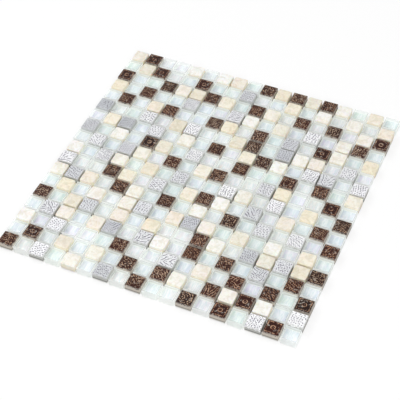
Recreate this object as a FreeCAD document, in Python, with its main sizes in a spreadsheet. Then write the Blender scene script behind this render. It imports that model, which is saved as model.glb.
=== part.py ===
import FreeCAD, Part
import Sketcher
import os

# A mosaic tile sheet: rows of small square tiles in glass, tumbled stone and two relief glazes,
# bonded by their backs to an open mesh of glass-fibre threads.
# The origin is on the floor under the middle of the sheet. X runs along a row of tiles,
# Y runs towards the back row and Z points up. Lengths are in millimetres.

DRIVING_SIZES = [
    ("tiles_across", 18, "tiles in a row"),
    ("tiles_deep", 18, "rows of tiles"),
    ("tile_side", 15.0, "side of a tile"),
    ("joint_width", 1.8, "open joint between two tiles"),
    ("glass_thickness", 8.0, "glass tile, back to face"),
    ("glass_arris", 0.7, "flat ground along the edges of a glass tile's face"),
    ("glass_corner", 0.6, "flat on the upright corners of a glass tile"),
    ("stone_thickness", 8.0, "stone tile, back to face"),
    ("stone_arris", 1.2, "edge that tumbling wears off a stone tile's face and back"),
    ("stone_corner", 1.4, "corner that tumbling wears off a stone tile"),
    ("relief_thickness", 8.0, "relief tile, back to face"),
    ("relief_arris", 0.5, "edge that the glaze softens on a relief tile's face"),
    ("thread_width", 0.9, "flat yarn of the mesh, across"),
    ("thread_thickness", 0.25, "flat yarn of the mesh, bottom to top"),
    ("thread_spacing", 5.0, "from one thread of the mesh to the next"),
    ("mesh_margin", 1.0, "from the edge of the sheet in to the end of a thread"),
]

# The blend as it is laid, one line for each row from the back row to the front row,
# and one letter for each tile from left to right:
# G glass, C cream stone, B bronze relief, S silver relief. A larger sheet repeats the blend.
LAYING_PLAN = [
    "CBGGCGCCGBCBCBCGCG",
    "GCBGGBGGSGGCGCGCGC",
    "BGGBCCBCGBCGBGBGCB",
    "CGBGGSGGSCGCGSGCBG",
    "GBGCBGGBCGBGSGBCGC",
    "SGGSGCSGGCBGSCCGSG",
    "GCSGSGCGBGCBCGSSGS",
    "SGCGBCGSGGBGGBGBGC",
    "GSGSCGBGCBGGSCGGBG",
    "CGSCGCGSGGSCGSGCGB",
    "SGGBCGSGCBCGSGCGBG",
    "CSCGBCGBGCGBGSGSGB",
    "GCGCGCSGCSCGCGCGCG",
    "BGCSGCGCGGBCGSCSCB",
    "GSCGCSGSCGBGBGSGBG",
    "CGSGGGBGGSGCGBGBGB",
    "GBGCGCGBGBCGBCBCGS",
    "BGSGCGSGBGGBGBGSBG",
]

doc = FreeCAD.newDocument("mosaic_tile_sheet")
sizes = doc.addObject("Spreadsheet::Sheet", "Sizes")
for line, (alias, value, meaning) in enumerate(DRIVING_SIZES, start=1):
    sizes.set(f"A{line}", meaning)
    sizes.set(f"B{line}", str(value))
    sizes.setAlias(f"B{line}", alias)
doc.recompute()

# Lengths that several pieces share, worked out from the driving sizes.
TILE_PITCH = "(Sizes.tile_side + Sizes.joint_width)"
SHEET_LENGTH = f"(Sizes.tiles_across * {TILE_PITCH} - Sizes.joint_width)"
SHEET_DEPTH = f"(Sizes.tiles_deep * {TILE_PITCH} - Sizes.joint_width)"


def origin_feature(body, role):
    """The plane or axis of the body's own origin that has this role."""
    for feature in body.Origin.OriginFeatures:
        if feature.Role == role:
            return feature
    raise ValueError(f"{body.Label} has no {role}")


def centred_rectangle(body, name, length, depth):
    """A sketch on the body's floor plane: a rectangle about the origin, sized by expressions.

    It is drawn as large as a tile, and the expressions then give it its own sides."""
    sketch = body.newObject("Sketcher::SketchObject", name)
    sketch.AttachmentSupport = [(origin_feature(body, "XY_Plane"), "")]
    sketch.MapMode = "FlatFace"
    reach = sizes.tile_side / 2
    corners = [FreeCAD.Vector(x, y, 0)
               for x, y in ((-reach, -reach), (reach, -reach), (reach, reach), (-reach, reach))]
    for start, end in zip(corners, corners[1:] + corners[:1]):
        sketch.addGeometry(Part.LineSegment(start, end))
    for side in range(4):
        sketch.addConstraint(Sketcher.Constraint("Coincident", side, 2, (side + 1) % 4, 1))
    sketch.addConstraint(Sketcher.Constraint("Horizontal", 0))
    sketch.addConstraint(Sketcher.Constraint("Horizontal", 2))
    sketch.addConstraint(Sketcher.Constraint("Vertical", 1))
    sketch.addConstraint(Sketcher.Constraint("Vertical", 3))
    sketch.addConstraint(Sketcher.Constraint("Symmetric", 0, 1, 1, 2, -1, 1))
    sketch.addConstraint(Sketcher.Constraint("DistanceX", 0, 1, 0, 2, sizes.tile_side))
    sketch.renameConstraint(sketch.ConstraintCount - 1, "length")
    sketch.addConstraint(Sketcher.Constraint("DistanceY", 1, 1, 1, 2, sizes.tile_side))
    sketch.renameConstraint(sketch.ConstraintCount - 1, "depth")
    sketch.setExpression("Constraints.length", length)
    sketch.setExpression("Constraints.depth", depth)
    return sketch


def pad(body, name, sketch, thickness):
    """The sketch raised from the floor plane by a thickness that an expression gives."""
    feature = body.newObject("PartDesign::Pad", name)
    feature.Profile = sketch
    feature.setExpression("Length", thickness)
    doc.recompute()
    return feature


def chamfer(body, name, base, picks_edge, size):
    """A flat on the edges of the base that picks_edge accepts."""
    edges = [f"Edge{i}" for i, edge in enumerate(base.Shape.Edges, start=1) if picks_edge(edge, base)]
    feature = body.newObject("PartDesign::Chamfer", name)
    feature.Base = (base, edges)
    feature.ChamferType = "Equal distance"
    feature.setExpression("Size", size)
    doc.recompute()
    return feature


def is_upright(edge, base):
    """An edge that runs from the back of the tile to its face."""
    return edge.BoundBox.ZLength > base.Shape.BoundBox.ZLength / 2


def is_round_the_face(edge, base):
    """An edge that lies in the tile's face."""
    return edge.BoundBox.ZMin > base.Shape.BoundBox.ZMax / 2


def is_round_face_or_back(edge, base):
    """An edge that lies in the tile's face or in its back."""
    return not is_upright(edge, base)


def tile(name, thickness, arris, corner=None, eased=is_round_the_face):
    """One square tile, back on the floor plane, with its edges eased and, if asked, its corners."""
    body = doc.addObject("PartDesign::Body", name)
    outline = centred_rectangle(body, f"{name}_outline", "Sizes.tile_side", "Sizes.tile_side")
    shape = pad(body, f"{name}_block", outline, thickness)
    if corner:
        shape = chamfer(body, f"{name}_corners", shape, is_upright, corner)
    chamfer(body, f"{name}_arris", shape, eased, arris)
    return body


def lay(node, letter, laid_tile):
    """The node of all the tiles of one kind, each where the laying plan has its letter."""
    copies = []
    for row in range(int(sizes.tiles_deep)):
        plan_row = LAYING_PLAN[row % len(LAYING_PLAN)]
        for column in range(int(sizes.tiles_across)):
            if plan_row[column % len(plan_row)] != letter:
                continue
            steps_right = f"({column} - (Sizes.tiles_across - 1) / 2)"
            steps_back = f"((Sizes.tiles_deep - 1) / 2 - {row})"
            copy = doc.addObject("App::Link", f"{laid_tile.Name}_{row + 1}_{column + 1}")
            copy.LinkedObject = laid_tile
            copy.setExpression("Placement.Base.x", f"{steps_right} * {TILE_PITCH}")
            copy.setExpression("Placement.Base.y", f"{steps_back} * {TILE_PITCH}")
            copy.setExpression("Placement.Base.z", "2 * Sizes.thread_thickness")
            copies.append(copy)
    laid = doc.addObject("Part::Compound", node)
    laid.Links = copies
    return laid


def thread_layer(node, length, depth, direction, span, height):
    """One layer of the mesh: parallel flat threads, evenly spaced and centred on the sheet."""
    body = doc.addObject("PartDesign::Body", node)
    body.AllowCompound = True
    count = f"(floor(({span} - 2 * Sizes.mesh_margin - Sizes.thread_width) / Sizes.thread_spacing) + 1)"
    section = centred_rectangle(body, f"{node}_outline", length, depth)
    axis = "x" if direction == "X_Axis" else "y"
    section.setExpression(f"AttachmentOffset.Base.{axis}", f"-({count} - 1) / 2 * Sizes.thread_spacing")
    first = pad(body, f"{node}_thread", section, "Sizes.thread_thickness")
    row = body.newObject("PartDesign::LinearPattern", f"{node}_row")
    row.Originals = [first]
    row.Direction = (origin_feature(body, direction), [""])
    row.Mode = "Spacing"
    row.Refine = False
    row.setExpression("Offset", "Sizes.thread_spacing")
    row.setExpression("Occurrences", count)
    body.Tip = row
    body.setExpression("Placement.Base.z", height)
    return body


# The four kinds of tile: glass is cut and its face's edges ground, stone is worn by tumbling all
# round, and the relief tiles are pressed with square corners.
glass_tile = tile("glass_tile", "Sizes.glass_thickness", "Sizes.glass_arris", "Sizes.glass_corner")
stone_tile = tile("stone_tile", "Sizes.stone_thickness", "Sizes.stone_arris", "Sizes.stone_corner",
                  is_round_face_or_back)
bronze_tile = tile("bronze_relief_tile", "Sizes.relief_thickness", "Sizes.relief_arris")
silver_tile = tile("silver_relief_tile", "Sizes.relief_thickness", "Sizes.relief_arris")

# The mesh is a laid one: the weft threads are the bottom layer, the warp threads lie across them
# and are bonded where they cross, and the backs of the tiles lie on the warp threads.
sub_parts = [
    lay("glass_tiles", "G", glass_tile),
    lay("stone_tiles", "C", stone_tile),
    lay("bronze_relief_tiles", "B", bronze_tile),
    lay("silver_relief_tiles", "S", silver_tile),
    thread_layer("mesh_weft", f"{SHEET_LENGTH} - 2 * Sizes.mesh_margin", "Sizes.thread_width",
                 "Y_Axis", SHEET_DEPTH, "0"),
    thread_layer("mesh_warp", "Sizes.thread_width", f"{SHEET_DEPTH} - 2 * Sizes.mesh_margin",
                 "X_Axis", SHEET_LENGTH, "Sizes.thread_thickness"),
]
doc.recompute()

for item in doc.Objects:
    if {"Invalid", "Error"} & set(item.State):
        raise RuntimeError(f"{item.Label} failed: {item.State}")

os.makedirs("parts", exist_ok=True)
for sub_part in sub_parts:
    shape = sub_part.Shape
    if shape.isNull() or not shape.isValid():
        raise RuntimeError(f"{sub_part.Label} has no valid shape")
    shape.exportStep(f"parts/{sub_part.Label}.step")
    print(sub_part.Label, len(shape.Solids), "solids", round(shape.Volume / 1000, 2), "cm3", shape.BoundBox)
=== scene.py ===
import math
import random
import bpy
import numpy as np
from mathutils import Euler, Matrix, Vector, noise


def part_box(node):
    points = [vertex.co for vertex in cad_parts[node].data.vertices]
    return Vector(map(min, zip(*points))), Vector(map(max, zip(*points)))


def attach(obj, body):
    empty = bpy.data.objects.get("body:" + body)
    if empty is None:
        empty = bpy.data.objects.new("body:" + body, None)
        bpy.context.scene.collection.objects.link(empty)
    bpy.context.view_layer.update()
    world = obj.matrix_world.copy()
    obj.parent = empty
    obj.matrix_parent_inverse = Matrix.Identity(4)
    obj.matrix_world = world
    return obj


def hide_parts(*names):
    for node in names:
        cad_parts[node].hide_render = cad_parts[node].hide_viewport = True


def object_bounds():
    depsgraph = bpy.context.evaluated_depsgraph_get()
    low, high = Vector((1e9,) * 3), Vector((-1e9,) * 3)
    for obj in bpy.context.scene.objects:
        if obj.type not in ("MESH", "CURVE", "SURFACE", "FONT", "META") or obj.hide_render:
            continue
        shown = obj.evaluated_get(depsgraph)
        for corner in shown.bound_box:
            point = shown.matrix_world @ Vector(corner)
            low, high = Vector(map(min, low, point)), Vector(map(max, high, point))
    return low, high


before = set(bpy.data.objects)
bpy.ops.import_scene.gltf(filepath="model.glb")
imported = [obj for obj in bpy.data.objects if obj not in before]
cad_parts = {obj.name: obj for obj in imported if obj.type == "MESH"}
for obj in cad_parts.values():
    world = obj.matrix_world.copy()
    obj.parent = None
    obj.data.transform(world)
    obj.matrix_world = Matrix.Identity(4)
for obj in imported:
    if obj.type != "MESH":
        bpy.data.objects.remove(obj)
cad_low, cad_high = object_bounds()


# Weft of the backing mesh: flat glass-fibre yarn in a coat of white resin, the layer that the sheet
# lies on. Each yarn runs along a row of tiles, a little uneven in width, from one edge to the other.

YARN_WIDTH = 0.0009
YARN_SPACING = 0.005
YARN_STEP = 0.0025
YARN_OUTLINE = [(-0.5, 0.3), (-0.28, 1.0), (0.28, 1.0), (0.5, 0.3), (0.3, 0.0), (-0.3, 0.0)]
YARN_SWAY = 0.00012
YARN_SWAY_PACE = 60
YARN_FULLNESS = 0.86
YARN_SWELL = 0.14
YARN_SWELL_PACE = 240
FIBRE_PACE_ALONG = 60
FIBRE_PACE_ACROSS = 5000


def srgb(red, green, blue):
    """A colour written as it looks on a screen, 0 to 255, as the shaders read it."""
    parts = [channel / 255 for channel in (red, green, blue)]
    linear = [c / 12.92 if c <= 0.04045 else ((c + 0.055) / 1.055) ** 2.4 for c in parts]
    return (*linear, 1.0)


RESIN_SHADED = srgb(214, 214, 205)
RESIN_BRIGHT = srgb(247, 247, 242)
RESIN_WARM = srgb(240, 238, 226)


def fill(tree, made, sockets):
    """The sockets of a shader node, each set to a value or joined to the socket of another node."""
    for name, value in sockets.items():
        if isinstance(value, bpy.types.NodeSocket):
            tree.links.new(value, made.inputs[name])
        else:
            made.inputs[name].default_value = value


def add(tree, kind, sockets=None, **settings):
    """A new shader node, with its settings made and its sockets filled."""
    made = tree.nodes.new("ShaderNode" + kind)
    for name, value in settings.items():
        setattr(made, name, value)
    fill(tree, made, sockets or {})
    return made


def blend(tree, share, first, second, way="MIX"):
    """A colour that goes from the first to the second as the share goes from 0 to 1."""
    return add(tree, "Mix", {"Factor": share, "A": first, "B": second}, data_type="RGBA",
               blend_type=way).outputs["Result"]


def mottle(tree, place, scale, detail, distortion=0.0):
    """A soft random pattern from 0 to 1."""
    return add(tree, "TexNoise", {"Vector": place, "Scale": scale, "Detail": detail,
                                  "Distortion": distortion}).outputs["Fac"]


def stretched(tree, place, paces):
    """Places that draw a pattern out along the axis that has the lowest pace."""
    return add(tree, "Mapping", {"Vector": place, "Scale": paces}).outputs["Vector"]


def bumped(tree, height, strength, distance):
    """A surface that stands up where the pattern is high."""
    return add(tree, "Bump", {"Height": height, "Strength": strength, "Distance": distance}).outputs["Normal"]


def new_material(name):
    """A material with an empty tree, its output node and its Principled shader, joined."""
    material = bpy.data.materials.new(name)
    material.use_nodes = True
    tree = material.node_tree
    tree.nodes.clear()
    shader = add(tree, "BsdfPrincipled")
    add(tree, "OutputMaterial", {"Surface": shader.outputs["BSDF"]})
    return material, tree, shader


def new_piece(name, corners, faces, material, smooth=True):
    """A mesh object of the whole piece, riding on the sheet."""
    mesh = bpy.data.meshes.new(name)
    mesh.from_pydata(corners, [], faces)
    mesh.polygons.foreach_set("use_smooth", [smooth] * len(mesh.polygons))
    mesh.materials.append(material)
    piece = bpy.data.objects.new(name, mesh)
    bpy.context.scene.collection.objects.link(piece)
    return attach(piece, "root")


def yarn_resin(name, along):
    """White resin over fibres that run along the yarn."""
    material, tree, shader = new_material(name)
    place = add(tree, "TexCoord").outputs["Object"]
    paces = [FIBRE_PACE_ACROSS] * 3
    paces[along] = FIBRE_PACE_ALONG
    fibres = mottle(tree, stretched(tree, place, paces), 1.0, 3.0)
    lined = blend(tree, fibres, RESIN_SHADED, RESIN_BRIGHT)
    fill(tree, shader, {"Base Color": blend(tree, mottle(tree, place, 90.0, 2.0), lined, RESIN_WARM),
                        "Roughness": 0.42,
                        "Normal": bumped(tree, fibres, 0.5, 0.0001)})
    return material


def yarn_layer(node, along, seed):
    """All the yarns of one layer of the mesh, each inside the strip that the frame holds for it.

    The two outermost yarns run straight, because they lie on the sides of the box."""
    chance = random.Random(seed)
    low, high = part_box(node)
    across = 1 - along
    count = round((high[across] - low[across] - YARN_WIDTH) / YARN_SPACING) + 1
    stations = round((high[along] - low[along]) / YARN_STEP) + 1
    sides = len(YARN_OUTLINE)
    corners, faces = [], []
    for index in range(count):
        middle = low[across] + YARN_WIDTH / 2 + index * YARN_SPACING
        sway = YARN_SWAY if 0 < index < count - 1 else 0
        phase = chance.uniform(0, 100)
        first = len(corners)
        for station in range(stations):
            run = low[along] + (high[along] - low[along]) * station / (stations - 1)
            wander = noise.noise(Vector((run * YARN_SWAY_PACE, phase, 0))) * sway
            swell = YARN_SWELL * noise.noise(Vector((run * YARN_SWELL_PACE, 0, phase)))
            breadth = YARN_WIDTH * (YARN_FULLNESS + swell)
            for side, level in YARN_OUTLINE:
                corner = [0.0, 0.0, low[2] + (high[2] - low[2]) * level]
                corner[along] = run
                corner[across] = middle + wander + side * breadth
                corners.append(corner)
        for station in range(stations - 1):
            ring = first + station * sides
            for side in range(sides):
                other = (side + 1) % sides
                faces.append((ring + side, ring + other, ring + sides + other, ring + sides + side))
        last = first + (stations - 1) * sides
        faces.append(tuple(range(first, first + sides))[::-1])
        faces.append(tuple(range(last, last + sides)))
    if along == 0:
        faces = [face[::-1] for face in faces]
    piece = new_piece(f"{node}_yarns", corners, faces, yarn_resin(f"{node}_resin", along))
    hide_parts(node)


yarn_layer("mesh_weft", along=0, seed=11)


# Warp of the backing mesh: the same yarn, laid across the weft and bonded to it where they cross.
# The backs of the tiles are glued to this layer.

yarn_layer("mesh_warp", along=1, seed=12)


# Glass tiles: squares cut from clear crystal glass, with ground sides and softened edges, painted on
# the back and glued down by it. The paint shows through, inside a bright rim where the light bends.

TILE_SIDE = 0.015
TILE_JOINT = 0.0018
TILE_PITCH = TILE_SIDE + TILE_JOINT
LAY_SHIFT = 0.00022
LAY_TWIST = math.radians(0.7)
LAY_TILT = math.radians(0.45)

# A block has 3 corners round each of its 4 upright edges. Where a ring lies further in, they stay
# rounded by this share of their radius at the least.
BLOCK_CORNERS = 12
BLOCK_CORNERS_EACH = 3
BLOCK_LEAST_ROUND = 0.3

# The softened edge as a quarter round: how far in, how far down and how many degrees up it looks.
# GLASS_GROUND says how milky the glass is at each ring of corners, from the back to the face.
GLASS_EDGE = 0.0008
GLASS_ROUND = [(0, 1, 0), (0.13, 0.5, 30), (0.5, 0.13, 60), (1, 0, 90)]
GLASS_CORNER = 0.0006
GLASS_CUT = 0.00008
GLASS_GROUND = [1.0, 1.0, 1.0, 0.8, 0.3, 0.0]
GLASS_COOL = srgb(249, 254, 253)
GLASS_CLEAR = srgb(253, 255, 255)
GLASS_MILKY = srgb(252, 253, 251)
GLASS_FROST = srgb(250, 252, 251)
GLASS_FROSTED = 0.55
GLASS_SHADOW = srgb(229, 229, 229)

# The coat is painted paler in a band PAINT_RIM wide round its edge: a painted highlight along the bright rim
# of each tile.
PAINT_COAT = 0.00012
PAINT_RIM = 0.0012
PAINT_HIGHLIGHT_ON_RIM = [1.0, 1.0, 0.0]
PAINT_SHADES = [(0.0, srgb(204, 219, 209)), (0.3, srgb(202, 216, 215)), (0.55, srgb(206, 213, 225)),
                (0.78, srgb(221, 217, 210)), (1.0, srgb(213, 206, 227))]
PAINT_LILAC = srgb(216, 212, 228)
# The paler colour of the brushed bars, which also paints a highlight down the middle of each tile.
PAINT_BAR_AND_HIGHLIGHT = srgb(239, 240, 240)
PAINT_STREAK = srgb(190, 209, 214)
PAINT_RIM_HIGHLIGHT = srgb(238, 243, 237)


def tile_places(node):
    """The middle of each tile of a node, in its floor plan, row by row from the front left corner."""
    cells = set()
    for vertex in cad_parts[node].data.vertices:
        column = math.floor((vertex.co.x - cad_low.x + TILE_JOINT / 2) / TILE_PITCH)
        row = math.floor((vertex.co.y - cad_low.y + TILE_JOINT / 2) / TILE_PITCH)
        cells.add((row, column))
    start_x, start_y = cad_low.x + TILE_SIDE / 2, cad_low.y + TILE_SIDE / 2
    return [(start_x + column * TILE_PITCH, start_y + row * TILE_PITCH) for row, column in sorted(cells)]


def square_rings(rings, corner_radius):
    """A square block about the middle of its back, as rings of corners from the back to the face.

    Each ring is (how far in from the sides, how high, how many degrees its surface looks up)."""
    corners, normals, faces = [], [], []
    for inset, height, upward in rings:
        radius = max(corner_radius - inset, corner_radius * BLOCK_LEAST_ROUND)
        reach = TILE_SIDE / 2 - inset - radius
        level, rise = math.cos(math.radians(upward)), math.sin(math.radians(upward))
        for step in range(BLOCK_CORNERS):
            quarter, part = divmod(step, BLOCK_CORNERS_EACH)
            turn = math.radians(quarter * 90 + part * 45)
            centre_x, centre_y = ((reach, reach), (-reach, reach), (-reach, -reach), (reach, -reach))[quarter]
            corners.append((centre_x + radius * math.cos(turn), centre_y + radius * math.sin(turn), height))
            normals.append((level * math.cos(turn), level * math.sin(turn), rise))
    for ring in range(len(rings) - 1):
        for step in range(BLOCK_CORNERS):
            here = ring * BLOCK_CORNERS + step
            other = ring * BLOCK_CORNERS + (step + 1) % BLOCK_CORNERS
            faces.append([here, other, other + BLOCK_CORNERS, here + BLOCK_CORNERS])
    faces.append(list(range(BLOCK_CORNERS))[::-1])
    faces.append(list(range(len(corners) - BLOCK_CORNERS, len(corners))))
    return np.array(corners), np.array(normals), faces


def hand_laid(x, y, low, chance):
    """How one tile lies after a hand set it down: slightly turned, tipped and off its place."""
    turn = Euler((chance.uniform(-LAY_TILT, LAY_TILT), chance.uniform(-LAY_TILT, LAY_TILT),
                  chance.uniform(-LAY_TWIST, LAY_TWIST))).to_matrix()
    place = (x + chance.uniform(-LAY_SHIFT, LAY_SHIFT), y + chance.uniform(-LAY_SHIFT, LAY_SHIFT), low)
    return np.array(turn), np.array(place)


def set_down(corners, laid, high):
    """One tile's corners where it lies, kept within the box that the frame holds."""
    turn, place = laid
    return np.clip(corners @ turn.T + place, (cad_low.x, cad_low.y, place[2]), (cad_high.x, cad_high.y, high))


def own_tone(chance, corners):
    """Three random numbers of a tile's own, for its shades, repeated for each of its corners."""
    return [[chance.random() for _ in range(3)]] * len(corners)


def join_tiles(blocks):
    """Many tiles as one list of corners and one of faces."""
    corners, faces, count = [], [], 0
    for block_corners, block_faces in blocks:
        corners.append(block_corners)
        faces.extend([[count + corner for corner in face] for face in block_faces])
        count += len(block_corners)
    return np.concatenate(corners), faces


def per_corner(piece, name, values):
    """A number, or three, stored at each corner of a piece for its material to read."""
    values = np.array(values, dtype=np.float32)
    kind, field = ("FLOAT_VECTOR", "vector") if values.ndim == 2 else ("FLOAT", "value")
    piece.data.attributes.new(name, kind, "POINT").data.foreach_set(field, values.ravel())


def stored(tree, name, field="Fac"):
    """What per_corner stored under a name."""
    return add(tree, "Attribute", attribute_name=name).outputs[field]


def split(tree, three):
    """The three numbers of a place or of a tile's tone, one by one."""
    parts = add(tree, "SeparateXYZ", {"Vector": three}).outputs
    return parts["X"], parts["Y"], parts["Z"]


def rescale(tree, value, low, high, to_low=0.0, to_high=1.0):
    """A value taken from one range to another, and held at the ends."""
    return add(tree, "MapRange", {"Value": value, "From Min": low, "From Max": high,
                                  "To Min": to_low, "To Max": to_high}).outputs["Result"]


def combine(tree, way, *values):
    """The sum, product or the like of one or two values."""
    return add(tree, "Math", dict(enumerate(values)), operation=way).outputs["Value"]


def moved_apart(tree, own, steps):
    """Places moved far apart by each tile's own tone, so that no pattern runs on from tile to tile."""
    place = add(tree, "TexCoord").outputs["Object"]
    away = add(tree, "VectorMath", {0: own, 1: steps}, operation="MULTIPLY").outputs["Vector"]
    return add(tree, "VectorMath", {0: place, 1: away}, operation="ADD").outputs["Vector"]


def shade_card(tree, pick, shades):
    """One shade picked from a card of them, which is a list of (place on the card, colour)."""
    card = add(tree, "ValToRGB", {"Fac": pick})
    stops = card.color_ramp.elements
    stops[0].color, stops[1].color = shades[0][1], shades[-1][1]
    for place, colour in shades[1:-1]:
        stops.new(place).color = colour
    return card.outputs["Color"]


def show(tree, surface):
    """Gives the material this surface instead of its Principled shader alone."""
    output = next(node for node in tree.nodes if node.type == "OUTPUT_MATERIAL")
    tree.links.new(surface, output.inputs["Surface"])


def crystal_glass():
    """Clear glass with a soft unevenness in its face, and milky where the sides are ground."""
    material, tree, shader = new_material("crystal_glass")
    ground = stored(tree, "ground")
    ripple = mottle(tree, add(tree, "TexCoord").outputs["Object"], 90.0, 0.0)
    body = blend(tree, ripple, GLASS_COOL, GLASS_CLEAR)
    fill(tree, shader, {"Base Color": blend(tree, ground, body, GLASS_MILKY),
                        "Transmission Weight": rescale(tree, ground, 0.0, 1.0, 1.0, 0.2),
                        "Roughness": rescale(tree, ground, 0.0, 1.0, 0.02, 0.3),
                        "Normal": bumped(tree, ripple, 0.1, 0.0002),
                        "IOR": 1.5})
    frosted = add(tree, "BsdfTranslucent", {"Color": GLASS_FROST})
    walls = add(tree, "MixShader", {0: combine(tree, "MULTIPLY", ground, GLASS_FROSTED),
                                    1: shader.outputs["BSDF"], 2: frosted.outputs["BSDF"]})
    lets_light_by = add(tree, "BsdfTransparent", {"Color": GLASS_SHADOW})
    through = add(tree, "MixShader", {0: add(tree, "LightPath").outputs["Is Shadow Ray"],
                                      1: walls.outputs["Shader"], 2: lets_light_by.outputs["BSDF"]})
    show(tree, through.outputs["Shader"])
    return material


def pearl_paint():
    """The brushed coat on the glass: mint, blue or lilac white from tile to tile, in broad soft bars that
    gather down the middle of the tile as a painted highlight, and a paler line round the rim, which is
    a painted highlight too."""
    material, tree, shader = new_material("pearl_paint")
    own = stored(tree, "tile_tone", "Vector")
    shade, _, _ = split(tree, own)
    place = moved_apart(tree, own, (3.0, 5.0, 7.0))
    pearl = mottle(tree, place, 110.0, 1.0)
    lilac = blend(tree, rescale(tree, pearl, 0.4, 0.7, 0.0, 0.6), shade_card(tree, shade, PAINT_SHADES),
                  PAINT_LILAC)
    aside, _, _ = split(tree, stored(tree, "within", "Vector"))
    # The brushed bars are made to gather down the middle of each tile, so the coat is painted paler there:
    # partly brush marks, partly a painted highlight.
    middle = rescale(tree, combine(tree, "ABSOLUTE", aside), 0.15, 0.85, 0.16, -0.06)
    brushed = mottle(tree, stretched(tree, place, (300, 60, 60)), 1.0, 1.0)
    bar = rescale(tree, combine(tree, "ADD", brushed, middle), 0.4, 0.72, 0.0, 0.6)
    barred = blend(tree, bar, lilac, PAINT_BAR_AND_HIGHLIGHT)
    bristles = mottle(tree, stretched(tree, place, (950, 180, 180)), 1.0, 2.0)
    streaked = blend(tree, rescale(tree, bristles, 0.45, 0.62, 0.0, 0.5), barred, PAINT_STREAK)
    # The rim of the coat is painted paler, as a painted highlight.
    fill(tree, shader, {"Base Color": blend(tree, stored(tree, "rim"), streaked, PAINT_RIM_HIGHLIGHT),
                        "Roughness": 0.5})
    return material


def lay_glass_tiles():
    """The clear blocks, and the painted coat that sits in the back of each of them."""
    chance = random.Random(21)
    low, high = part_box("glass_tiles")
    back, face = PAINT_COAT / 2, high.z - low.z
    rings = [(GLASS_CUT, back, -90), (0, back + GLASS_CUT, 0)]
    rings += [(GLASS_EDGE * inset, face - GLASS_EDGE * drop, upward) for inset, drop, upward in GLASS_ROUND]
    block, normals, block_faces = square_rings(rings, GLASS_CORNER)
    coat_rings = [(GLASS_CUT, 0, -90), (GLASS_CUT, PAINT_COAT, 90), (PAINT_RIM, PAINT_COAT, 90)]
    coat, _, coat_faces = square_rings(coat_rings, GLASS_CORNER)
    blocks, turned, coats, tones = [], [], [], []
    for x, y in tile_places("glass_tiles"):
        laid = hand_laid(x, y, low.z, chance)
        blocks.append((set_down(block, laid, high.z), block_faces))
        turned.append(normals @ laid[0].T)
        coats.append((set_down(coat, laid, high.z), coat_faces))
        tones.extend(own_tone(chance, coat))
    glass = new_piece("glass_tile_blocks", *join_tiles(blocks), crystal_glass())
    glass.data.normals_split_custom_set_from_vertices(np.concatenate(turned).tolist())
    per_corner(glass, "ground", np.tile(np.repeat(GLASS_GROUND, BLOCK_CORNERS), len(blocks)))
    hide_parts("glass_tiles")
    paint = new_piece("glass_tile_backs", *join_tiles(coats), pearl_paint(), smooth=False)
    per_corner(paint, "tile_tone", tones)
    # The rings of the coat that carry the painted highlight round its rim.
    per_corner(paint, "rim", np.tile(np.repeat(PAINT_HIGHLIGHT_ON_RIM, BLOCK_CORNERS), len(coats)))
    per_corner(paint, "within", np.tile(coat / (TILE_SIDE / 2), (len(coats), 1)))


lay_glass_tiles()


# Stone tiles: sawn cream stone, tumbled until the edges and corners are worn round, then laid with
# the polished face up. Their colour runs from ivory to peach and honey, with soft veins.

STONE_CELLS = (6, 6, 3)
STONE_WEAR = 0.0006
STONE_WEAR_SHARES = (0.6, 1.7)
STONE_CORNER = 0.0008
STONE_CORNER_SHARES = (0.5, 1.8)
STONE_CORNER_FROM = 0.62
STONE_UNEVEN = 0.00018
STONE_DENT_PACE = 150
STONE_PIT_PACE = 420
STONE_CROWN = 0.00015
STONE_SHADES = [(0.0, srgb(254, 254, 252)), (0.45, srgb(252, 251, 246)), (0.8, srgb(249, 244, 232)),
                (1.0, srgb(248, 239, 218))]
STONE_PEACH = srgb(247, 238, 227)
STONE_DULL = srgb(234, 228, 210)
STONE_CLOUD = srgb(239, 238, 232)
STONE_VEIN = srgb(246, 240, 226)
# The sides are painted warmer: partly the own colour of unpolished stone, partly painted warm light that
# bounces between the stones.
STONE_SIDES = srgb(244, 235, 214)
# Painted shade: the dark line of a contact shadow low on the side of a stone.
STONE_FOOT_SHADE = srgb(222, 212, 190)
GLUE = srgb(244, 244, 240)

# Heights above the floor: each pair is where a change down the side of a tile begins and is complete.
SIDES_HEIGHTS = (0.0082, 0.0056)
# Where the painted shade of the contact shadow runs, low on the side.
FOOT_SHADE_HEIGHTS = (0.0042, 0.003)
GLUE_HEIGHTS = (0.0026, 0.0014)


def cuts(half, radius, cells):
    """Where a block is cut along one axis: close together round its edges, even between them."""
    rim = [half, half - radius * (1 - math.tan(math.pi / 8))]
    flat = np.linspace(radius - half, half - radius, cells + 1)
    return np.array([-edge for edge in rim] + list(flat) + rim[::-1])


def rounded_block(size, radius, cells):
    """The corners and faces of a block about the origin with all its edges rounded."""
    half = np.array(size) / 2
    grid = [cuts(half[axis], radius, cells[axis]) for axis in range(3)]
    numbers, corners, faces = {}, [], []

    def number(index):
        if index not in numbers:
            numbers[index] = len(corners)
            corners.append([grid[axis][index[axis]] for axis in range(3)])
        return numbers[index]

    for axis in range(3):
        first, second = (axis + 1) % 3, (axis + 2) % 3
        for end in (0, len(grid[axis]) - 1):
            for i in range(len(grid[first]) - 1):
                for j in range(len(grid[second]) - 1):
                    ring = []
                    for step_i, step_j in ((0, 0), (1, 0), (1, 1), (0, 1)):
                        index = [0, 0, 0]
                        index[axis], index[first], index[second] = end, i + step_i, j + step_j
                        ring.append(number(tuple(index)))
                    faces.append(ring if end else ring[::-1])
    corners = np.array(corners)
    core = np.clip(corners, radius - half, half - radius)
    out = corners - core
    return core + radius * out / np.linalg.norm(out, axis=1, keepdims=True), faces


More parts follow.
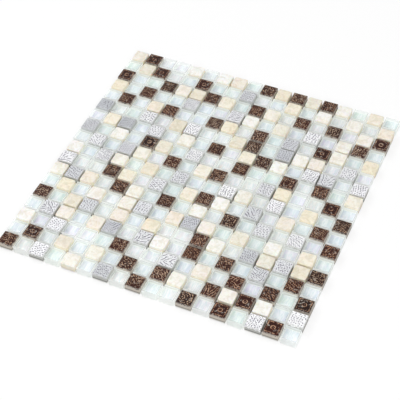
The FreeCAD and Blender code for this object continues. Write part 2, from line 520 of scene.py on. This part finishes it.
def foot_shade_and_glue(tree, body, height, shade_colour):
    """A line of painted shade low on a tile's side, where a contact shadow falls, and under it the
    white glue that stands up from the mesh.
    """
    foot_shaded = blend(tree, rescale(tree, height, *FOOT_SHADE_HEIGHTS, 0.0, 0.9), body, shade_colour)
    return blend(tree, rescale(tree, height, *GLUE_HEIGHTS), foot_shaded, GLUE)


def cream_stone():
    """Ivory to honey stone, cloudy and veined, polished on the face and matt down the sides."""
    material, tree, shader = new_material("cream_stone")
    own = stored(tree, "tile_tone", "Vector")
    shade, blush, age = split(tree, own)
    peach = blend(tree, rescale(tree, blush, 0.65, 1.0, 0.0, 0.9), shade_card(tree, shade, STONE_SHADES),
                  STONE_PEACH)
    dull = blend(tree, rescale(tree, age, 0.7, 1.0, 0.0, 0.9), peach, STONE_DULL)
    within = moved_apart(tree, own, (7.0, 5.0, 3.0))
    cloud = mottle(tree, within, 190.0, 5.0, 0.8)
    clouded = blend(tree, rescale(tree, cloud, 0.45, 0.62, 0.0, 0.9), dull, STONE_CLOUD, "MULTIPLY")
    vein = mottle(tree, within, 110.0, 6.0, 1.8)
    line = combine(tree, "MULTIPLY", rescale(tree, vein, 0.46, 0.5), rescale(tree, vein, 0.5, 0.55, 0.7, 0.0))
    veined = blend(tree, line, clouded, STONE_VEIN, "MULTIPLY")
    place = add(tree, "TexCoord").outputs["Object"]
    _, _, height = split(tree, place)
    # Down the sides the colour turns warmer: partly unpolished stone, partly painted bounce light. worn holds
    # this colour.
    side = rescale(tree, height, *SIDES_HEIGHTS, 0.0, 0.85)
    worn = blend(tree, side, veined, STONE_SIDES)
    fill(tree, shader, {"Base Color": foot_shade_and_glue(tree, worn, height, STONE_FOOT_SHADE),
                        "Roughness": rescale(tree, side, 0.0, 0.75, 0.28, 0.7),
                        "Normal": bumped(tree, mottle(tree, place, 1900.0, 3.0), 0.25, 0.0002),
                        "Subsurface Weight": 0.25,
                        "Subsurface Radius": (0.003, 0.0018, 0.0009),
                        "Subsurface Scale": 1.0})
    return material


def tumbled(shape, thick, blunted, seed):
    """A block that stands on its back, with dents in its sides, blunted corners and a crowned face."""
    half = TILE_SIDE / 2
    worn = []
    for corner in shape:
        away = Vector(corner)
        broad = noise.noise(away * STONE_DENT_PACE + seed)
        small = noise.noise(away * STONE_PIT_PACE + seed)
        dent = 0.5 + 0.6 * broad + 0.25 * small
        in_corner = max(abs(away.x * away.y) / half ** 2 - STONE_CORNER_FROM, 0)
        inward = (STONE_UNEVEN * max(dent, 0) + blunted[away.x > 0, away.y > 0] * in_corner) / half
        edge = max(abs(away.x), abs(away.y)) / half
        upper = max(away.z / thick * 2, 0)
        sunk = upper * STONE_CROWN * edge ** 2 * (0.6 + dent)
        worn.append((away.x * (1 - inward), away.y * (1 - inward), away.z + thick / 2 - sunk))
    return np.array(worn)


def lay_stone_tiles():
    """Each stone is worn in its own way, from the same block."""
    chance = random.Random(31)
    low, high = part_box("stone_tiles")
    thick = high.z - low.z
    blocks, tones = [], []
    for x, y in tile_places("stone_tiles"):
        wear = STONE_WEAR * chance.uniform(*STONE_WEAR_SHARES)
        shape, faces = rounded_block((TILE_SIDE, TILE_SIDE, thick), wear, STONE_CELLS)
        seed = Vector((chance.uniform(0, 50), chance.uniform(0, 50), 0))
        blunted = {(right, rear): STONE_CORNER * chance.uniform(*STONE_CORNER_SHARES)
                   for right in (False, True) for rear in (False, True)}
        stone = tumbled(shape, thick, blunted, seed)
        blocks.append((set_down(stone, hand_laid(x, y, low.z, chance), high.z), faces))
        tones.extend(own_tone(chance, shape))
    stones = new_piece("stone_tile_blocks", *join_tiles(blocks), cream_stone())
    per_corner(stones, "tile_tone", tones)
    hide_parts("stone_tiles")


lay_stone_tiles()


# Bronze relief tiles: clay pressed with an ornament of strokes, leaves and scrolls, under a near-black
# brown glaze that runs down the top of the sides. Copper lustre is rubbed over the raised lines.

BRONZE_PRESS = {"cells": 34, "depth": 0.0004, "pace": 3.5, "stand": 0.03, "rim": 0.1}

# The face is rounded off at its edge and cut close together there. It is plain over a share of the
# border's width, and the ornament fades in over the width that follows. The glaze is rubbed off the
# edge, over a little more than the rounding. The last 5 faces of a tile are its sides and its back.
RELIEF_EDGE = 0.00035
RELIEF_CUTS = [0.0, 0.00012, 0.0003, 0.00055]
RELIEF_BORDER = 0.0007
RELIEF_PLAIN = 0.4
RELIEF_RUBBED = 1.6
RELIEF_FLATS = 5
RELIEF_SWING = 0.9
MILLIMETRES = 1000

# Each ornament gives how high the face stands at x and y, in millimetres from the middle of the tile:
# about 0 on average, 1 on a line and -1 in a groove. Its strokes crowd together as pace grows.
STROKE_WAVES = 12
STROKE_LEVEL = 2.45
MOTIF_LEVEL = 1.4
RING_REACH = 3.0
RING_PITCH = 2.0
FRAME_INSIDE = 4.8
FRAME_MIDDLE = 5.8
SCROLL_PITCH = 2.3
FRET_PITCH = 2.4
VEIN_SLANT = 0.6


def strokes(x, y, chance, pace, heading=0.0, spread=math.pi):
    """Short raised strokes that meet and break off, all round or about one heading."""
    field = np.zeros(x.shape)
    for _ in range(STROKE_WAVES):
        turn = heading + chance.uniform(-spread, spread)
        own = pace * chance.uniform(0.6, 1.4)
        field += np.sin(own * (x * math.cos(turn) + y * math.sin(turn)) + chance.uniform(0, 6.3))
    return field / STROKE_LEVEL


def motif(x, y, phase, chance, pace, share):
    """The lines of a motif, broken up by short strokes as worn moulds print them."""
    lines = np.cos(2 * math.pi * phase)
    return MOTIF_LEVEL * (share * lines + (1 - share) * strokes(x, y, chance, pace))


def rings(x, y, chance, pace):
    """A ring about a boss in the middle of a plain field, inside a square line along the border."""
    radius = np.hypot(x, y)
    reach = np.maximum(np.abs(x), np.abs(y))
    in_ring = radius < RING_REACH
    border = np.where(reach > FRAME_INSIDE, (reach - FRAME_MIDDLE) / RING_PITCH, 0.5)
    return motif(x, y, np.where(in_ring, radius / RING_PITCH, border), chance, pace,
                 np.where(in_ring, 0.92, 0.68))


def scrolls(x, y, chance, pace):
    """Two or three spirals that roll up against each other."""
    nearest = np.full(x.shape, np.inf)
    phase = np.zeros(x.shape)
    for _ in range(chance.choice((2, 3))):
        centre_x, centre_y = chance.uniform(-4.5, 4.5), chance.uniform(-4.5, 4.5)
        hand, start = chance.choice((-1, 1)), chance.random()
        radius = np.hypot(x - centre_x, y - centre_y)
        angle = np.arctan2(y - centre_y, x - centre_x) / (2 * np.pi)
        phase = np.where(radius < nearest, radius / SCROLL_PITCH + hand * angle + start, phase)
        nearest = np.minimum(nearest, radius)
    return motif(x, y, phase, chance, pace, 0.5)


def leaves(x, y, chance, pace):
    """Slanting strokes that meet along a rib, like the veins of a leaf."""
    angle = chance.uniform(0, math.pi)
    across = y * math.cos(angle) - x * math.sin(angle)
    one_side = strokes(x, y, chance, pace, angle + math.pi / 2 + VEIN_SLANT, 0.5)
    other_side = strokes(x, y, chance, pace, angle + math.pi / 2 - VEIN_SLANT, 0.5)
    return np.where(across > chance.uniform(-2, 2), one_side, other_side)


def fret(x, y, chance, pace):
    """A square line that winds in to the middle."""
    reach = np.maximum(np.abs(x), np.abs(y))
    quarter = np.floor(np.arctan2(y, x) / (math.pi / 2) + 0.5) / 4
    return motif(x, y, reach / FRET_PITCH - quarter, chance, pace, 0.6)


def hatching(x, y, chance, pace):
    """Broken strokes that all slant much the same way."""
    return strokes(x, y, chance, pace, chance.uniform(0, math.pi), 0.6)


def relief_tile(thickness, ornament, chance, cells, depth, pace, stand, rim):
    """A pressed tile about the origin: an ornamented face, flat sides and a flat back.

    The face is cut into cells along each side, and its grooves are depth deep. Where stand is high,
    more of the face stands raised, and the grooves are narrower. rim is how far the plain border
    round the ornament stands raised."""
    half = TILE_SIDE / 2
    inner = half - RELIEF_CUTS[-1]
    outer = [half - cut for cut in RELIEF_CUTS[:-1]]
    line = np.array([-cut for cut in outer] + list(np.linspace(-inner, inner, cells + 1)) + outer[::-1])
    x, y = np.meshgrid(line, line, indexing="ij")
    from_edge = half - np.maximum(np.abs(x), np.abs(y))
    fade = np.clip((from_edge - RELIEF_BORDER * RELIEF_PLAIN) / RELIEF_BORDER, 0, 1)
    drawn = ornament(x * MILLIMETRES, y * MILLIMETRES, chance, pace)
    raised = np.clip(stand + RELIEF_SWING * drawn, 0, 1) * fade + rim * (1 - fade)
    rubbed = np.clip(1 - from_edge / (RELIEF_EDGE * RELIEF_RUBBED), 0, 1)
    over_x, over_y = [np.clip(np.abs(away) - half + RELIEF_EDGE, 0, None) for away in (x, y)]
    over = np.minimum(np.hypot(over_x, over_y), RELIEF_EDGE)
    drop = RELIEF_EDGE - np.sqrt(RELIEF_EDGE ** 2 - over ** 2)
    z = thickness - depth * (1 - raised) - drop
    feet = [(-half, -half, 0), (half, -half, 0), (half, half, 0), (-half, half, 0)]
    corners = np.concatenate([np.stack([x.ravel(), y.ravel(), z.ravel()], axis=1), feet])

    count = len(line)
    grid = np.arange(count * count).reshape(count, count).tolist()
    faces = [[grid[i][j], grid[i + 1][j], grid[i + 1][j + 1], grid[i][j + 1]]
             for i in range(count - 1) for j in range(count - 1)]
    front, back = [row[0] for row in grid], [row[-1] for row in reversed(grid)]
    right, left = grid[-1], grid[0][::-1]
    foot = count * count
    for side, top in enumerate((front, right, back, left)):
        faces.append([foot + side, foot + (side + 1) % 4] + top[::-1])
    faces.append([foot + 3, foot + 2, foot + 1, foot])
    return corners, faces, np.append(raised, [rim] * 4), np.append(rubbed, [1.0] * 4)


def lustre_glaze(name, groove, flank, crest, smoke, clay, ran_to, metal, shine, gloss):
    """A glaze that is dark in the grooves, with a rubbed metal lustre on the raised lines, and bare
    clay under the line that the glaze ran down to and where it is worn off the edges of the face.
    Smoke of the kiln darkens some tiles more."""
    material, tree, shader = new_material(name)
    place = add(tree, "TexCoord").outputs["Object"]
    _, _, height = split(tree, place)
    batch, rub, smoked = split(tree, stored(tree, "tile_tone", "Vector"))
    raised = stored(tree, "relief")
    speck = mottle(tree, place, 800.0, 4.0)
    patch = mottle(tree, place, 260.0, 2.0)

    one_batch = blend(tree, raised, groove[0], flank[0])
    other_batch = blend(tree, raised, groove[1], flank[1])
    glaze = blend(tree, batch, one_batch, other_batch)
    scuff = rescale(tree, combine(tree, "ADD", speck, patch), 0.82, 1.12, 0.26, 1.2)
    lit = rescale(tree, combine(tree, "MULTIPLY", raised, scuff), 0.3, 0.75)
    lustred = blend(tree, lit, glaze, blend(tree, rub, crest[0], crest[1]))
    face = blend(tree, smoked, lustred, smoke, "MULTIPLY")

    ragged = mottle(tree, stretched(tree, place, (520, 520, 60)), 1.0, 2.0)
    ran = rescale(tree, ragged, 0.3, 0.7, *ran_to)
    unglazed = rescale(tree, combine(tree, "SUBTRACT", ran, height), -0.0003, 0.0005)
    chips = combine(tree, "MULTIPLY", stored(tree, "edge"), rescale(tree, speck, 0.36, 0.5))
    chipped = combine(tree, "MULTIPLY", chips, rescale(tree, height, 0.0077, 0.0080))
    bare = combine(tree, "MAXIMUM", unglazed, chipped)
    dusty = blend(tree, patch, clay[0], clay[1])
    # Low on the side the clay is darkened by painted shade, where a contact shadow falls, and under it is
    # glue.
    side = foot_shade_and_glue(tree, dusty, height, clay[2])

    fill(tree, shader, {"Base Color": blend(tree, bare, face, side),
                        "Metallic": combine(tree, "MULTIPLY", lit, metal),
                        "Roughness": rescale(tree, bare, 0.0, 1.0, shine, 0.8),
                        "Normal": bumped(tree, speck, 0.35, 0.00015),
                        "Specular IOR Level": gloss})
    return material


def lay_relief_tiles(node, name, press, ornaments, material, seed):
    """All the relief tiles of one glaze, each pressed with an ornament of its own.

    Their faces are smooth, and the last few faces of each, its sides and its back, are flat."""
    chance = random.Random(seed)
    low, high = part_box(node)
    blocks, heights, rubs, tones = [], [], [], []
    for x, y in tile_places(node):
        corners, faces, raised, rubbed = relief_tile(high.z - low.z, chance.choice(ornaments), chance, **press)
        blocks.append((set_down(corners, hand_laid(x, y, low.z, chance), high.z), faces))
        heights.extend(raised)
        rubs.extend(rubbed)
        tones.extend(own_tone(chance, corners))
    piece = new_piece(name, *join_tiles(blocks), material)
    smooth = np.arange(len(piece.data.polygons)) % len(faces) < len(faces) - RELIEF_FLATS
    piece.data.polygons.foreach_set("use_smooth", smooth)
    per_corner(piece, "relief", heights)
    per_corner(piece, "edge", rubs)
    per_corner(piece, "tile_tone", tones)
    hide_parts(node)


lay_relief_tiles("bronze_relief_tiles", "bronze_relief_blocks", BRONZE_PRESS,
                 [strokes] * 5 + [hatching] + [scrolls] * 2 + [leaves] * 3 + [fret, rings, rings],
                 lustre_glaze("copper_lustre",
                              groove=(srgb(33, 13, 8), srgb(52, 19, 10)),
                              flank=(srgb(60, 27, 18), srgb(88, 38, 24)),
                              crest=(srgb(202, 176, 151), srgb(185, 143, 115)),
                              smoke=srgb(226, 220, 216),
                              # The third clay colour is painted shade low on the side, where a contact shadow
                              # falls.
                              clay=(srgb(192, 182, 170), srgb(220, 212, 202), srgb(134, 128, 120)),
                              ran_to=(0.0083, 0.0066), metal=0.4, shine=0.38, gloss=0.15),
                 seed=41)


# Silver relief tiles: the same pressed clay under a lilac-grey glaze, with silver lustre over all but
# the grooves. The strokes stand a little wider apart than on the bronze tiles, and are less deep.

SILVER_PRESS = {"cells": 40, "depth": 0.0003, "pace": 3.1, "stand": 1.0, "rim": 0.95}

lay_relief_tiles("silver_relief_tiles", "silver_relief_blocks", SILVER_PRESS,
                 [strokes] * 6 + [scrolls] * 2 + [leaves] * 2,
                 lustre_glaze("silver_lustre",
                              groove=(srgb(106, 102, 116), srgb(130, 125, 140)),
                              flank=(srgb(238, 238, 241), srgb(254, 254, 255)),
                              crest=(srgb(248, 248, 251), srgb(255, 255, 255)),
                              smoke=srgb(198, 201, 204),
                              # The third clay colour is painted shade low on the side, where a contact shadow
                              # falls.
                              clay=(srgb(184, 184, 180), srgb(206, 206, 202), srgb(116, 116, 113)),
                              ran_to=(0.0079, 0.0058), metal=0.25, shine=0.34, gloss=0.4),
                 seed=42)


# Stage: a plain white floor that shows white to the camera and in the glass, and keeps the shadow of
# the sheet. It is no part of the object.

FLOOR_REACH = 6.0
FLOOR_GREY = 0.6
FLOOR_ROUGHNESS = 0.9
FLOOR_SHARE = 0.5
FLOOR_LIFT = 0.7
PLAIN_WHITE = (1, 1, 1, 1)


def looked_at(tree):
    """1 where the camera sees a surface straight, in a gloss or through glass, and 0 for other light."""
    path = add(tree, "LightPath").outputs
    seen = combine(tree, "MAXIMUM", path["Is Camera Ray"], path["Is Glossy Ray"])
    return combine(tree, "MAXIMUM", seen, path["Is Transmission Ray"])


def white_floor():
    """A matt floor, with a white of its own added for what looks at it straight or through glass."""
    material, tree, shader = new_material("white_floor")
    fill(tree, shader, {"Base Color": (FLOOR_GREY, FLOOR_GREY, FLOOR_GREY, 1), "Roughness": FLOOR_ROUGHNESS})
    glow = add(tree, "Emission", {"Color": PLAIN_WHITE, "Strength": FLOOR_LIFT / FLOOR_SHARE})
    both = add(tree, "MixShader", {0: combine(tree, "MULTIPLY", looked_at(tree), FLOOR_SHARE),
                                   1: shader.outputs["BSDF"], 2: glow.outputs["Emission"]})
    show(tree, both.outputs["Shader"])
    return material


floor_mesh = bpy.data.meshes.new("floor")
floor_mesh.from_pydata([(side_x * FLOOR_REACH, side_y * FLOOR_REACH, cad_low.z)
                        for side_x, side_y in ((-1, -1), (1, -1), (1, 1), (-1, 1))], [], [(0, 1, 2, 3)])
floor_mesh.materials.append(white_floor())
floor = bpy.data.objects.new("floor", floor_mesh)
bpy.context.scene.collection.objects.link(floor)


# Light: a white room with a ring of soft lamps, as in a light tent. The strongest ones stand at the
# left and low in front, so that only the right sides of the tiles fall into soft shade.

ROOM_LIGHT = 0.52
LAMP_AWAY = 1.6
LAMP_SIDE = 0.4

# Each lamp: its name, degrees round from the right by way of the back, degrees up, and watts.
LAMPS = [("left_lamp", 165, 50, 5.0), ("overhead_lamp", 0, 90, 1.0), ("back_lamp", 72, 60, 0.8),
         ("right_lamp", 12, 45, 2.2), ("front_lamp", 298, 32, 5.4), ("front_left_lamp", 235, 50, 3.0)]

world = bpy.data.worlds.new("white_room")
world.use_nodes = True
room = world.node_tree
room.nodes.clear()
room_level = rescale(room, looked_at(room), 0.0, 1.0, ROOM_LIGHT, 1.0)
room_white = add(room, "Background", {"Color": PLAIN_WHITE, "Strength": room_level})
add(room, "OutputWorld", {"Surface": room_white.outputs["Background"]})
bpy.context.scene.world = world

for lamp_name, lamp_round, lamp_above, lamp_power in LAMPS:
    lamp_data = bpy.data.lights.new(lamp_name, "AREA")
    lamp_data.shape = "SQUARE"
    lamp_data.size = LAMP_SIDE
    lamp_data.energy = lamp_power
    lamp = bpy.data.objects.new(lamp_name, lamp_data)
    lamp_turn = Euler((0, -math.radians(lamp_above), math.radians(lamp_round))).to_matrix()
    lamp.location = lamp_turn @ Vector((LAMP_AWAY, 0, 0))
    lamp.rotation_euler = (-lamp.location).to_track_quat("-Z", "Y").to_euler()
    bpy.context.scene.collection.objects.link(lamp)


# Camera: above the front right of the sheet with a long lens, turned and tipped as the photograph
# was taken.

CAMERA_ROUND = math.radians(25.35)
CAMERA_ABOVE = math.radians(46.33)
CAMERA_AWAY = 1.1254
LOOK_ROUND = math.radians(25.94)
LOOK_DOWN = math.radians(47.39)
LOOK_ROLL = math.radians(-2.59)
LENS = 102.9
SENSOR_WIDTH = 36.0

camera_data = bpy.data.cameras.new("camera")
camera_data.sensor_width = SENSOR_WIDTH
camera_data.lens = LENS
camera = bpy.data.objects.new("camera", camera_data)
level = math.cos(CAMERA_ABOVE) * CAMERA_AWAY
camera.location = (math.sin(CAMERA_ROUND) * level, -math.cos(CAMERA_ROUND) * level,
                   cad_high.z + math.sin(CAMERA_ABOVE) * CAMERA_AWAY)
aim = Euler((math.pi / 2 - LOOK_DOWN, 0, LOOK_ROUND)).to_matrix() @ Matrix.Rotation(LOOK_ROLL, 3, "Z")
camera.rotation_euler = aim.to_euler()
bpy.context.scene.collection.objects.link(camera)
bpy.context.scene.camera = camera
bpy.context.scene.view_settings.view_transform = "Standard"
